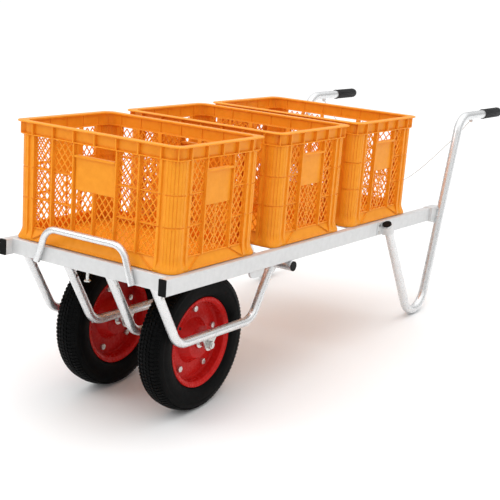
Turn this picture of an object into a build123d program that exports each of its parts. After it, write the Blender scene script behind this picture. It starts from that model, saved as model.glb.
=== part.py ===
# Container cart: a tube-framed field cart on two wheels, with three harvest crates
import os
from math import cos, radians, sin, tan

from build123d import *

os.makedirs("parts", exist_ok=True)

# Sizes are in millimetres and angles in degrees
# On the bed, u runs back along the rails from their front end and z is square to the bed

# Bed
bed_tilt = 5.5
bed_width = 559.0
rail_length = 1390.0
rail_width = 22.5
rail_height = 42.5
rail_wall = 2.0
rail_corner = 2.5
cap_lip = 3.0
cap_insert = 18.0
front_bar_setback = 23.0
front_bar_width = 40.0
front_bar_height = 41.0
bed_bar_width = 40.0
bed_bar_height = 20.0
bed_bar_inset = 95.0
tube_wall = 2.0

# Crates
crate_length = 548.0
crate_width = 370.0
crate_height = 313.0
crate_setbacks = (32.0, 468.0, 882.0)
crate_wall = 3.0
crate_floor = 4.0
crate_corner = 34.0
rim_overhang = 12.0
rim_corner = 27.0
rim_lip = 4.0
rim_band = 36.0
lower_lip = 3.0
lower_lip_shy = 2.0
foot_height = 9.0
foot_shy = 4.0
skirt_height = 30.0
rib_thickness = 4.0
rib_depth = 4.0
long_rib_pitch = 68.5
short_web_pitch = 64.0
short_panel_half = 56.0
short_rib_gap = 19.0
short_lattice_width = 43.0
lattice_bar = 5.0
lattice_rail = 6.0
hand_hold_top = 270.0
long_hand_hold = (124.0, 32.0)
short_hand_hold = (96.0, 23.0)
hand_hold_corner = 6.0

# Wheels
wheel_half_track = 143.0
axle_setback = 296.5
axle_drop = 245.1
tyre_diameter = 384.0
tyre_width = 80.0
tyre_wall = 8.0
bead_radius = 112.0
bead_half_width = 28.5
bead_thickness = 10.5
heel_bevel = (4.5, 8.0)
shoulder_inset = 4.5
shoulder_drop = 12.0
rim_thickness = 2.0
rim_bend = 3.0
flange_radius = 124.5
flange_half_width = 33.0
dish_edge_inset = 7.0
dish_inner_radius = 62.0
dome_radius = 44.0
dome_height = 26.0
hub_radius = 19.0
hub_length = 60.0
bearing_radius = 16.0
bearing_width = 10.0
rim_bolt_count = 5
rim_bolt_circle = 87.0
rim_bolt_diameter = 8.0
rim_bolt_across_flats = 15.0
rim_bolt_head = 7.0
rim_bolt_nut = 7.0
rim_bolt_angles = {"left": 25.0, "right": 11.5}
valve_diameter = 8.0
valve_length = 30.0
valve_lean = 44.0
valve_angle = 142.0
tube_rubber = 2.5
tube_step = 9.0

# Struts and axles
strut_diameter = 25.0
strut_offset = 72.0
strut_top_setback = 39.0
strut_front_setback = 140.5
strut_rear_setback = 468.0
strut_drop = 209.0
strut_bend_radius = 60.0
rivet_distance = 30.0
rivet_diameter = 5.0
rivet_head = 2.2
cross_tube_diameter = 28.0
cross_tube_setback = 553.0
cross_tube_overhang = 5.5
cross_cap_lip = 3.0
bracket_thickness = 4.0
bracket_length = 84.0
bracket_lead = 2.0
bracket_nose = 17.0
bracket_top = 6.0
axle_diameter = 12.0
axle_across_flats = 19.0
axle_head = 8.0
axle_nut = 10.0
axle_tail = 3.0
spacer_diameter = 18.0
rail_tab_setback = 364.0
rail_tab_length = 68.0
rail_tab_depth = 22.0
rail_tab_thickness = 6.0
rail_tab_round = 20.0

# Front hoop and tie pin
hoop_diameter = 18.0
hoop_foot_half = 161.0
hoop_top_half = 127.5
hoop_height = 52.0
hoop_foot_rise = 0.5
hoop_bend_radius = 45.0
pin_setback = 33.0
pin_diameter = 8.0
pin_length = 25.0
pin_flange_diameter = 17.0
pin_flange = 3.0

# Handles, which are also the legs
handle_diameter = 28.0
handle_stand_off = 1.5
leg_top_setback = 1069.0
leg_top_drop = 9.0
leg_lean = 31.5
back_lean = 14.45
leg_bend_radius = 72.0
handle_bend_radius = 60.0
handle_height = 296.0
handle_run = 310.83
grip_length = 135.0
grip_diameter = 34.0
grip_end = 6.0
grip_round = 5.0
plug_lip = 4.0
plug_insert = 18.0
saddle_drop = 24.0
saddle_width = 26.0
saddle_thickness = 2.5
ear_setback = 1034.0
ear_height = 38.0
ear_margin = 8.0
screw_diameter = 5.0
screw_head_diameter = 9.5
screw_head = 2.8
screw_length = 14.0
fitting_plug = 40.0
fitting_nose = 8.0
fitting_rise = 1.5
fitting_skirt = 10.0
fitting_wrap = 7.0
handle_bolt_diameter = 8.0
handle_bolt_across_flats = 13.0
handle_bolt_head = 5.3
handle_bolt_drop = 20.0

# Tie cord, in the upright plane through the lugs
cord_diameter = 3.0
lug_setback = 1610.0
lug_width = 6.0
lug_half = 3.5
cord_start = (-6.0, -20.0)
cord_steps = (
    (-38.5, -48.5),
    (-39.0, -42.7),
    (-39.0, -42.0),
    (-38.5, -40.0),
    (-36.0, -34.5),
    (-34.0, -28.0),
    (-34.0, -17.5),
)

# Clearances
fit_gap = 0.05
running_gap = 0.05
rest_gap = 0.3
wheel_play = 0.3

# Shared positions
tilt = radians(bed_tilt)
tyre_radius = tyre_diameter / 2
bulge_radius = (tyre_radius + flange_radius) / 2 - 5
strut_radius = strut_diameter / 2
handle_radius = handle_diameter / 2
grip_radius = grip_diameter / 2
cross_tube_radius = cross_tube_diameter / 2
hoop_radius = hoop_diameter / 2
axle_radius = axle_diameter / 2
rail_face = bed_width / 2
rail_x = rail_face - rail_width / 2
bar_half = rail_face - rail_width
handle_x = rail_face + handle_stand_off + handle_radius
cross_tube_drop = rail_height + cross_tube_radius
sides = {"left": -1, "right": 1}

# The bed stands on the wheels
bed_front_z = tyre_radius + axle_setback * sin(tilt) + axle_drop * cos(tilt)

# The leg's bend touches the floor, and the grip's end is one run behind the upper bend
half_bend = radians(leg_lean + back_lean) / 2
bend_turn = radians(leg_lean - back_lean) / 2
bend_rise = leg_bend_radius / sin(half_bend) * cos(bend_turn - tilt)
leg_top_height = bed_front_z - leg_top_setback * sin(tilt) - leg_top_drop * cos(tilt)
leg_run = (leg_top_height + bend_rise - leg_bend_radius - handle_radius) / cos(radians(leg_lean) - tilt)
leg_foot = (
    leg_top_setback + leg_run * sin(radians(leg_lean)),
    -leg_top_drop - leg_run * cos(radians(leg_lean)),
)
handle_corner = leg_foot[0] + (handle_height - leg_foot[1]) * tan(radians(back_lean))
handle_bolt_setback = leg_foot[0] + (-handle_bolt_drop - leg_foot[1]) * tan(radians(back_lean))
handle_end = handle_corner + handle_run

# The cart's middle is over the origin
front_reach = -cap_lip * cos(tilt) - rail_height * sin(tilt)
grip_top = handle_height + grip_radius - grip_round
rear_reach = (handle_end - grip_round) * cos(tilt) + grip_top * sin(tilt) + grip_round
bed_front_y = -(front_reach + rear_reach) / 2
bed = Plane(origin=(0, bed_front_y, bed_front_z), x_dir=(1, 0, 0), z_dir=(0, sin(tilt), cos(tilt)))
wheel_y = bed_front_y + axle_setback * cos(tilt) - axle_drop * sin(tilt)


def bed_point(x, u, z):
    return bed.from_local_coords((x, u, z))


def side_plane(x):
    # Looks along X: first axis back along the bed, second axis up from it
    return Plane(origin=bed_point(x, 0, 0), x_dir=bed.y_dir, z_dir=(1, 0, 0))


def front_plane(u):
    # Looks back along the bed: first axis X, second axis up from the bed
    return Plane(origin=bed_point(0, u, 0), x_dir=(1, 0, 0), z_dir=-bed.y_dir)


def wheel_plane(x):
    # Square to the axle: first axis +Y, second axis +Z
    return Plane(origin=(x, wheel_y, tyre_radius), x_dir=(0, 1, 0), z_dir=(1, 0, 0))


def wheel_section(side):
    # Through the axle: first axis outwards from the wheel's middle, second axis the radius
    return Plane(
        origin=(side * wheel_half_track, wheel_y, tyre_radius), x_dir=(side, 0, 0), z_dir=(0, -side, 0)
    )


def leg_direction(lean):
    # Down and back along a leg that leans by this angle on the bed
    return bed.y_dir * sin(radians(lean)) - bed.z_dir * cos(radians(lean))


def save(part, name):
    part.label = name
    export_step(part, f"parts/{name}.step")


def saddle_screw_points():
    # The two screws sit one above the other near the ear's front edge
    u = ear_setback + ear_margin
    reach = ear_height / 2 - ear_margin
    return ((u, reach - rail_height / 2), (u, -reach - rail_height / 2))


# Bed rails
def make_rail(name, side):
    bore = (rail_width - 2 * rail_wall, rail_height - 2 * rail_wall)
    with BuildPart() as rail:
        with BuildSketch(front_plane(0)):
            with Locations((side * rail_x, -rail_height / 2)):
                RectangleRounded(rail_width, rail_height, rail_corner)
                RectangleRounded(*bore, rail_corner / 2, mode=Mode.SUBTRACT)
        extrude(amount=-rail_length)
        with BuildSketch(side_plane(side * rail_face)):
            with Locations(*saddle_screw_points()):
                Circle(screw_diameter / 2 + fit_gap)
        extrude(amount=-side * rail_width / 2, mode=Mode.SUBTRACT)
    save(rail.part, name)


# Black caps in the rails' front ends
def make_rail_caps():
    with BuildPart() as caps:
        with BuildSketch(front_plane(0)):
            with Locations((-rail_x, -rail_height / 2), (rail_x, -rail_height / 2)):
                RectangleRounded(rail_width, rail_height, rail_corner)
        extrude(amount=cap_lip)
        with BuildSketch(front_plane(0)):
            with Locations((-rail_x, -rail_height / 2), (rail_x, -rail_height / 2)):
                RectangleRounded(
                    rail_width - 2 * (rail_wall + fit_gap),
                    rail_height - 2 * (rail_wall + fit_gap),
                    rail_corner / 2,
                )
        extrude(amount=-cap_insert)
    save(caps.part, "rail_caps")


# Crossbars between the rails
def make_crossbar(name, u, width, height):
    bore = (width - 2 * tube_wall, height - 2 * tube_wall)
    with BuildPart() as bar:
        with BuildSketch(side_plane(-bar_half)):
            with Locations((u, -height / 2)):
                RectangleRounded(width, height, rail_corner)
                RectangleRounded(*bore, rail_corner / 2, mode=Mode.SUBTRACT)
        extrude(amount=2 * bar_half)
    save(bar.part, name)


# Round tube across the underside of the rails, with its end caps
def make_cross_tube():
    half = rail_face + cross_tube_overhang
    with BuildPart() as tube:
        with BuildSketch(side_plane(-half)):
            with Locations((cross_tube_setback, -cross_tube_drop)):
                Circle(cross_tube_radius)
                Circle(cross_tube_radius - tube_wall, mode=Mode.SUBTRACT)
        extrude(amount=2 * half)
    save(tube.part, "rear_cross_tube")
    with BuildPart() as caps:
        for side in sides.values():
            with BuildSketch(side_plane(side * half)):
                with Locations((cross_tube_setback, -cross_tube_drop)):
                    Circle(cross_tube_radius)
            extrude(amount=side * cross_cap_lip)
            with BuildSketch(side_plane(side * half)):
                with Locations((cross_tube_setback, -cross_tube_drop)):
                    Circle(cross_tube_radius - tube_wall - fit_gap)
            extrude(amount=-side * cap_insert)
    save(caps.part, "cross_tube_caps")


# Rounded tabs under the rails
def make_rail_tab(name, side):
    with BuildPart() as tab:
        with BuildSketch(side_plane(side * rail_x)) as outline:
            with Locations((rail_tab_setback + rail_tab_length / 2, -rail_height - rail_tab_depth / 2)):
                Rectangle(rail_tab_length, rail_tab_depth)
            fillet(outline.vertices().sort_by(Axis.Y)[:2], rail_tab_round)
        extrude(amount=rail_tab_thickness / 2, both=True)
    save(tab.part, name)


# Struts, flat on the front crossbar and notched round the cross tube
def strut_slope():
    # Direction of a strut's front leg, down and back
    leg = Vector(strut_front_setback - strut_top_setback, front_bar_height - strut_drop)
    return leg.normalized()


def rivet_point():
    slope = strut_slope()
    return (strut_top_setback + slope.X * rivet_distance, -front_bar_height + slope.Y * rivet_distance)


def make_strut(name, x):
    slope = strut_slope()
    with BuildPart() as strut:
        with BuildLine(side_plane(x)) as route:
            FilletPolyline(
                (
                    strut_top_setback - slope.X * strut_diameter,
                    -front_bar_height - slope.Y * strut_diameter,
                ),
                (strut_front_setback, -strut_drop),
                (strut_rear_setback, -strut_drop),
                (cross_tube_setback, -cross_tube_drop),
                radius=strut_bend_radius,
            )
        with BuildSketch(Plane(origin=route.line @ 0, z_dir=route.line % 0)):
            Circle(strut_radius)
            Circle(strut_radius - tube_wall, mode=Mode.SUBTRACT)
        sweep()
        split(bisect_by=bed.offset(-front_bar_height), keep=Keep.BOTTOM)
        with BuildSketch(side_plane(x)):
            with Locations((cross_tube_setback, -cross_tube_drop)):
                Circle(cross_tube_radius)
            with Locations(rivet_point()):
                Circle(rivet_diameter / 2 + fit_gap)
        extrude(amount=strut_diameter, both=True, mode=Mode.SUBTRACT)
    save(strut.part, name)


def strut_positions():
    steps = (-strut_offset, strut_offset)
    return [side * wheel_half_track + step for side in sides.values() for step in steps]


# Headed rivets through the struts' tops
def make_strut_rivets():
    with BuildPart() as rivets:
        for x in strut_positions():
            with BuildSketch(side_plane(x)):
                with Locations(rivet_point()):
                    Circle(rivet_diameter / 2)
            extrude(amount=strut_radius + rivet_head, both=True)
            for face in (-1, 1):
                with BuildSketch(side_plane(x + face * strut_radius)):
                    with Locations(rivet_point()):
                        Circle(rivet_diameter * 0.9)
                extrude(amount=face * rivet_head)
    save(rivets.part, "strut_rivets")


# Plates on the struts' sides that hold the axles
def bracket_faces(side):
    # X of each plate's face towards the wheel: outer plate, then inner plate
    reach = strut_offset - strut_radius - bracket_thickness
    return (side * (wheel_half_track + reach), side * (wheel_half_track - reach))


def make_axle_bracket(name, face, away):
    with BuildPart() as bracket:
        with BuildSketch(side_plane(face)):
            with Locations((axle_setback, -axle_drop)):
                Circle(bracket_nose)
            with Locations((axle_setback + bracket_lead, -strut_drop + bracket_top / 2)):
                Rectangle(bracket_length, bracket_top)
            make_hull()
            with Locations((axle_setback, -axle_drop)):
                Circle(axle_radius + fit_gap, mode=Mode.SUBTRACT)
        extrude(amount=away * bracket_thickness)
    save(bracket.part, name)


# Axle bolts with the head on the cart's middle side, their nuts and spacers
def make_axle(name, side):
    outer, inner = bracket_faces(side)
    head_face = inner - side * bracket_thickness
    tail = outer + side * (bracket_thickness + axle_nut + axle_tail)
    with BuildPart() as axle:
        with BuildSketch(wheel_plane(head_face)):
            RegularPolygon(axle_across_flats / 2, 6, major_radius=False)
        extrude(amount=-side * axle_head)
        with BuildSketch(wheel_plane(head_face)):
            Circle(axle_radius)
        extrude(amount=tail - head_face)
    save(axle.part, name)


def make_axle_nuts():
    with BuildPart() as nuts:
        for side in sides.values():
            outer = bracket_faces(side)[0] + side * bracket_thickness
            with BuildSketch(wheel_plane(outer)):
                RegularPolygon(axle_across_flats / 2, 6, major_radius=False)
                Circle(axle_radius + fit_gap, mode=Mode.SUBTRACT)
            extrude(amount=side * axle_nut)
    save(nuts.part, "axle_nuts")


def make_axle_spacers():
    length = strut_offset - strut_radius - bracket_thickness - hub_length / 2 - wheel_play
    with BuildPart() as spacers:
        for side in sides.values():
            for face in bracket_faces(side):
                inwards = -1 if face > side * wheel_half_track else 1
                with BuildSketch(wheel_plane(face)):
                    Circle(spacer_diameter / 2)
                    Circle(axle_radius + fit_gap, mode=Mode.SUBTRACT)
                extrude(amount=inwards * length)
    save(spacers.part, "axle_spacers")


# Wheels: tyre, inner tube, two pressed rim halves, hub, bearings, bolts and valve
def wheel_axis(side):
    return Axis((side * wheel_half_track, wheel_y, tyre_radius), (1, 0, 0))


def flip(point):
    # The same point on the other half of a wheel's section
    return (-point[0], point[1])


def make_tyre(name, side):
    shoulder = (tyre_width / 2 - shoulder_inset, tyre_radius - shoulder_drop)
    bulge = (tyre_width / 2, bulge_radius)
    toe = (bead_half_width - bead_thickness, bead_radius)
    heel = (bead_half_width - heel_bevel[0], bead_radius)
    seat = (bead_half_width, bead_radius + heel_bevel[1])
    edge = (bead_half_width, flange_radius - 1.5)
    inner_toe = (toe[0], bead_radius + bead_thickness)
    inner_edge = (toe[0] + 3, flange_radius - 1.5)
    inner_shoulder = (shoulder[0] - tyre_wall, shoulder[1] - tyre_wall + 1)
    inner_bulge = (bulge[0] - tyre_wall, bulge[1])
    with BuildPart() as tyre:
        with BuildSketch(wheel_section(side)):
            with BuildLine():
                Polyline(toe, heel, seat, edge)
                ThreePointArc(edge, bulge, shoulder)
                ThreePointArc(shoulder, (0, tyre_radius), flip(shoulder))
                ThreePointArc(flip(shoulder), flip(bulge), flip(edge))
                Polyline(flip(edge), flip(seat), flip(heel), flip(toe), flip(inner_toe), flip(inner_edge))
                ThreePointArc(flip(inner_edge), flip(inner_bulge), flip(inner_shoulder))
                ThreePointArc(flip(inner_shoulder), (0, tyre_radius - tyre_wall), inner_shoulder)
                ThreePointArc(inner_shoulder, inner_bulge, inner_edge)
                Polyline(inner_edge, inner_toe, toe)
            make_face()
        revolve(axis=wheel_axis(side))
    save(tyre.part, name)


def valve_plane(side, slide):
    # Square to the valve stem, which leans out of the rim; slide moves along the stem from its inner end
    lean = radians(valve_lean)
    spoke = radians(valve_angle)
    across = 4.0 + slide * cos(lean)
    radius = bead_radius + 6.7 - slide * sin(lean)
    up = Vector(0, cos(spoke), sin(spoke))
    centre = Vector(side * (wheel_half_track + across), wheel_y, tyre_radius) + up * radius
    along = Vector(side * cos(lean), 0, 0) - up * sin(lean)
    return Plane(origin=centre, x_dir=up.cross(Vector(1, 0, 0)), z_dir=along)


def make_inner_tube(name, side):
    half = tyre_width / 2 - tyre_wall - rest_gap
    foot = bead_half_width - bead_thickness - rest_gap
    floor = bead_radius + 2.2
    step = (foot, floor + tube_step)
    edge = (foot + 2.6, flange_radius - 1.3)
    shoulder = (half - shoulder_inset, tyre_radius - shoulder_drop - tyre_wall + 1 - rest_gap)
    bulge = (half, bulge_radius)
    crown = (0, tyre_radius - tyre_wall - rest_gap)
    with BuildPart() as tube:
        with BuildSketch(wheel_section(side)):
            with BuildLine():
                Polyline(flip(edge), flip(step), (-foot, floor), (foot, floor), step, edge)
                ThreePointArc(edge, bulge, shoulder)
                ThreePointArc(shoulder, crown, flip(shoulder))
                ThreePointArc(flip(shoulder), flip(bulge), flip(edge))
            make_face()
            offset(amount=-tube_rubber, mode=Mode.SUBTRACT)
        revolve(axis=wheel_axis(side))
        with BuildSketch(valve_plane(side, 0)):
            Circle(valve_diameter / 2 + fit_gap)
        extrude(amount=valve_length / 2, both=True, mode=Mode.SUBTRACT)
    save(tube.part, name)


def make_rim_half(name, side, facing, with_valve):
    # facing is 1 for the half on the outer side of the wheel and -1 for the other
    angle = rim_bolt_angles[name.split("_")[0]]
    middle = rim_thickness / 2
    route = [
        (dome_height, hub_radius),
        (dome_height, dome_radius),
        (middle, dish_inner_radius),
        (middle, bead_radius - dish_edge_inset),
        (middle + 5, bead_radius - 3.3),
        (bead_half_width - 1.5, bead_radius - 1.3),
        (bead_half_width + 1.5, bead_radius + 5),
        (bead_half_width + 1.5, flange_radius - 4.5),
        (flange_half_width, flange_radius - 1),
    ]
    with BuildPart() as rim:
        with BuildSketch(wheel_section(side)):
            with BuildLine():
                FilletPolyline(*[(facing * x, r) for x, r in route], radius=rim_bend)
            trace(line_width=rim_thickness)
        revolve(axis=wheel_axis(side))
        with BuildSketch(wheel_plane(side * wheel_half_track)):
            with PolarLocations(rim_bolt_circle, rim_bolt_count, start_angle=angle):
                Circle(rim_bolt_diameter / 2 + fit_gap)
        extrude(amount=rim_thickness * 2, both=True, mode=Mode.SUBTRACT)
        if with_valve:
            with BuildSketch(valve_plane(side, 0)):
                Circle(valve_diameter / 2 + fit_gap)
            extrude(amount=valve_length, mode=Mode.SUBTRACT)
    save(rim.part, name)


def make_hub(name, side):
    with BuildPart() as hub:
        with BuildSketch(wheel_plane(side * wheel_half_track)):
            Circle(hub_radius)
            Circle(bearing_radius, mode=Mode.SUBTRACT)
        extrude(amount=hub_length / 2, both=True)
    save(hub.part, name)


def make_bearings(name, side):
    with BuildPart() as bearings:
        for end in (-1, 1):
            with BuildSketch(wheel_plane(side * wheel_half_track + end * hub_length / 2)):
                Circle(bearing_radius)
                Circle(axle_radius + running_gap, mode=Mode.SUBTRACT)
            extrude(amount=-end * bearing_width)
    save(bearings.part, name)


def make_rim_bolts(name, side):
    angle = rim_bolt_angles[name.split("_")[0]]
    outer = side * (wheel_half_track + rim_thickness)
    inner = side * (wheel_half_track - rim_thickness)
    with BuildPart() as bolts:
        with BuildSketch(wheel_plane(outer)):
            with PolarLocations(rim_bolt_circle, rim_bolt_count, start_angle=angle):
                RegularPolygon(rim_bolt_across_flats / 2, 6, major_radius=False)
        extrude(amount=side * rim_bolt_head)
        with BuildSketch(wheel_plane(inner)):
            with PolarLocations(rim_bolt_circle, rim_bolt_count, start_angle=angle):
                RegularPolygon(rim_bolt_across_flats / 2, 6, major_radius=False)
        extrude(amount=-side * rim_bolt_nut)
        with BuildSketch(wheel_plane(outer)):
            with PolarLocations(rim_bolt_circle, rim_bolt_count, start_angle=angle):
                Circle(rim_bolt_diameter / 2)
        extrude(amount=-side * (2 * rim_thickness + rim_bolt_nut + 2.5))
    save(bolts.part, name)


def make_valve(name, side):
    with BuildPart() as valve:
        with BuildSketch(valve_plane(side, 0)):
            Circle(valve_diameter / 2)
        extrude(amount=valve_length)
    save(valve.part, name)


# Front hoop and the pin under the front crossbar
def make_hoop():
    foot = hoop_foot_rise - front_bar_height
    with BuildPart() as hoop:
        with BuildLine(front_plane(front_bar_setback - hoop_radius)) as route:
            FilletPolyline(
                (-hoop_foot_half, foot),
                (-hoop_top_half, hoop_height),
                (hoop_top_half, hoop_height),
                (hoop_foot_half, foot),
                radius=hoop_bend_radius,
            )
        with BuildSketch(Plane(origin=route.line @ 0, z_dir=route.line % 0)):
            Circle(hoop_radius)
            Circle(hoop_radius - tube_wall, mode=Mode.SUBTRACT)
        sweep()
    save(hoop.part, "front_hoop")


def make_tie_pin():
    with BuildPart() as pin:
        with BuildSketch(bed.offset(-front_bar_height)):
            with Locations((0, pin_setback)):
                Circle(pin_diameter / 2)
        extrude(amount=-pin_length)
        with BuildSketch(bed.offset(-front_bar_height - pin_length)):
            with Locations((0, pin_setback)):
                Circle(pin_flange_diameter / 2)
        extrude(amount=pin_flange)
    save(pin.part, "tie_pin")


# Handles and what is on them
def leg_plane(side, drop):
    # Square to the leg at this depth below the bed: first axis outwards, second axis to the front
    u = leg_top_setback + (drop - leg_top_drop) * tan(radians(leg_lean))
    return Plane(
        origin=bed_point(side * handle_x, u, -drop), x_dir=(side, 0, 0), z_dir=leg_direction(leg_lean) * side
    )


def back_plane(side):
    # Square to the handle tube where the rail's fitting meets it
    return Plane(
        origin=bed_point(side * handle_x, handle_bolt_setback, -handle_bolt_drop),
        x_dir=(side, 0, 0),
        z_dir=leg_direction(-back_lean) * side,
    )


def make_handle(name, side):
    with BuildPart() as handle:
        with BuildLine(side_plane(side * handle_x)) as route:
            FilletPolyline(
                (leg_top_setback, -leg_top_drop),
                leg_foot,
                (handle_corner, handle_height),
                (handle_end - grip_end, handle_height),
                radius=[leg_bend_radius, handle_bend_radius],
            )
        with BuildSketch(Plane(origin=route.line @ 0, z_dir=route.line % 0)):
            Circle(handle_radius)
            Circle(handle_radius - tube_wall, mode=Mode.SUBTRACT)
        sweep()
        with BuildSketch(side_plane(side * handle_x)):
            with Locations((handle_bolt_setback, -handle_bolt_drop)):
                Circle(handle_bolt_diameter / 2 + fit_gap)
        extrude(amount=-side * handle_diameter, mode=Mode.SUBTRACT)
    save(handle.part, name)


def make_leg_plugs():
    with BuildPart() as plugs:
        for side in sides.values():
            with BuildSketch(leg_plane(side, leg_top_drop)):
                Circle(handle_radius)
            extrude(amount=-side * plug_lip)
            with BuildSketch(leg_plane(side, leg_top_drop)):
                Circle(handle_radius - tube_wall - fit_gap)
            extrude(amount=side * plug_insert)
    save(plugs.part, "leg_plugs")


def make_grip(name, side):
    with BuildPart() as grip:
        with BuildSketch(front_plane(handle_end)):
            with Locations((side * handle_x, handle_height)):
                Circle(grip_radius)
        extrude(amount=grip_length)
        fillet(grip.edges().sort_by(Axis((0, 0, 0), bed.y_dir))[-1], grip_round)
        with BuildSketch(front_plane(handle_end - grip_end)):
            with Locations((side * handle_x, handle_height)):
                Circle(handle_radius + fit_gap)
        extrude(amount=grip_length, mode=Mode.SUBTRACT)
    save(grip.part, name)


def make_leg_saddle(name, side):
    depth = handle_radius + handle_stand_off
    outer = handle_radius + saddle_thickness
    axis_u = leg_top_setback + (saddle_drop - leg_top_drop) * tan(radians(leg_lean))
    with BuildPart() as saddle:
        with BuildSketch(leg_plane(side, saddle_drop)):
            Circle(outer)
            with Locations((-depth / 2, 0)):
                Rectangle(depth, 2 * outer)
        extrude(amount=saddle_width / 2, both=True)
        with BuildSketch(side_plane(side * rail_face)):
            with Locations(((ear_setback + axis_u) / 2, -rail_height / 2)):
                Rectangle(axis_u - ear_setback, ear_height)
        extrude(amount=side * saddle_thickness)
        split(bisect_by=side_plane(side * rail_face), keep=Keep.TOP if side > 0 else Keep.BOTTOM)
        with BuildSketch(leg_plane(side, saddle_drop)):
            Circle(handle_radius + fit_gap)
        extrude(amount=rail_height * 2, both=True, mode=Mode.SUBTRACT)
        with BuildSketch(side_plane(side * rail_face)):
            with Locations(*saddle_screw_points()):
                Circle(screw_diameter / 2 + fit_gap)
        extrude(amount=side * saddle_thickness, mode=Mode.SUBTRACT)
    save(saddle.part, name)


def make_saddle_screws():
    with BuildPart() as screws:
        for side in sides.values():
            outer = side * (rail_face + saddle_thickness)
            with BuildSketch(side_plane(outer)):
                with Locations(*saddle_screw_points()):
                    Circle(screw_head_diameter / 2)
            extrude(amount=side * screw_head)
            with BuildSketch(side_plane(outer)):
                with Locations(*saddle_screw_points()):
                    Circle(screw_diameter / 2)
            extrude(amount=-side * screw_length)
    save(screws.part, "saddle_screws")


def make_rail_fitting(name, side):
    inner = side * bar_half
    with BuildPart() as fitting:
        with BuildSketch(front_plane(rail_length)):
            with Locations((side * rail_x, -rail_height / 2)):
                RectangleRounded(
                    rail_width - 2 * (rail_wall + fit_gap),
                    rail_height - 2 * (rail_wall + fit_gap),
                    rail_corner / 2,
                )
        extrude(amount=fitting_plug)
        with BuildSketch(side_plane(inner)):
            with BuildLine():
                Polyline(
                    (rail_length, fitting_rise),
                    (handle_bolt_setback + handle_radius * 0.9, fitting_rise),
                    (handle_bolt_setback + handle_radius * 0.2, -rail_height - fitting_skirt),
                    (handle_bolt_setback - handle_radius, -rail_height - fitting_skirt),
                    (rail_length + fitting_nose, -rail_height),
                    (rail_length, -rail_height),
                    close=True,
                )
            make_face()
        extrude(amount=side * (rail_width + handle_stand_off + fitting_wrap))
        with BuildSketch(back_plane(side)):
            Circle(handle_radius + fit_gap)
        extrude(amount=rail_height * 2, both=True, mode=Mode.SUBTRACT)
        with BuildSketch(side_plane(inner)):
            with Locations((handle_bolt_setback, -handle_bolt_drop)):
                Circle(handle_bolt_diameter / 2 + fit_gap)
        extrude(amount=side * handle_diameter, mode=Mode.SUBTRACT)
    save(fitting.part, name)


def make_handle_bolts():
    with BuildPart() as bolts:
        for side in sides.values():
            with BuildSketch(side_plane(side * bar_half)):
                with Locations((handle_bolt_setback, -handle_bolt_drop)):
                    RegularPolygon(handle_bolt_across_flats / 2, 6, major_radius=False)
            extrude(amount=-side * handle_bolt_head)
            with BuildSketch(side_plane(side * bar_half)):
                with Locations((handle_bolt_setback, -handle_bolt_drop)):
                    Circle(handle_bolt_diameter / 2)
            extrude(amount=side * (rail_width + handle_stand_off + handle_radius - tube_wall))
    save(bolts.part, "handle_bolts")


# Tie cord and its lugs; the cord hangs in an upright plane
lug_centre = bed_point(0, lug_setback, handle_height)
cord_plane = Plane(origin=(0, lug_centre.Y, lug_centre.Z), x_dir=(1, 0, 0), z_dir=(0, -1, 0))


def cord_points():
    x, z = handle_x + cord_start[0], cord_start[1]
    points = [(x, z)]
    for step_x, step_z in cord_steps:
        x += step_x
        z += step_z
        points.append((x, z))
    return points + [(-x, z) for x, z in reversed(points)]


def make_cord_lugs():
    first = Vector(*cord_steps[0]).normalized()
    across = Vector(-first.Y, first.X) * lug_half
    with BuildPart() as lugs:
        for side in sides.values():
            with BuildSketch(cord_plane):
                with BuildLine():
                    Polyline(
                        (side * (handle_x + cord_start[0] - across.X), cord_start[1] - across.Y),
                        (side * (handle_x + cord_start[0] + across.X), cord_start[1] + across.Y),
                        (side * (handle_x + lug_half), cord_start[1] + across.Y),
                        (side * (handle_x + lug_half), 0),
                        (side * (handle_x + cord_start[0] - across.X), 0),
                        close=True,
                    )
                make_face()
            extrude(amount=lug_width / 2, both=True)
            with BuildSketch(front_plane(lug_setback)):
                with Locations((side * handle_x, handle_height)):
                    Circle(handle_radius)
            extrude(amount=lug_width * 2, both=True, mode=Mode.SUBTRACT)
    save(lugs.part, "cord_lugs")


def make_tie_cord():
    points = cord_points()
    runs = [Vector(*b) - Vector(*a) for a, b in zip(points, points[1:])]
    radii = []
    for before, after in zip(runs, runs[1:]):
        turn = radians(before.get_angle(after))
        radii.append(0.45 * min(before.length, after.length) / tan(turn / 2))
    with BuildPart() as cord:
        with BuildLine(cord_plane) as route:
            FilletPolyline(*points, radius=radii)
        with BuildSketch(Plane(origin=route.line @ 0, z_dir=route.line % 0)):
            Circle(cord_diameter / 2)
        sweep()
    print("cord radii", [round(radius) for radius in radii])
    print("cord length", round(route.wire().length, 1), "volume", round(cord.part.volume, 1))
    save(cord.part, "tie_cord")


# Crates
def window_diamonds(windows, height):
    # Centres of the two diamonds, one above the other, in each lattice window
    return [(x, z + step) for x, z in windows for step in (-height / 4, height / 4)]


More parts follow.
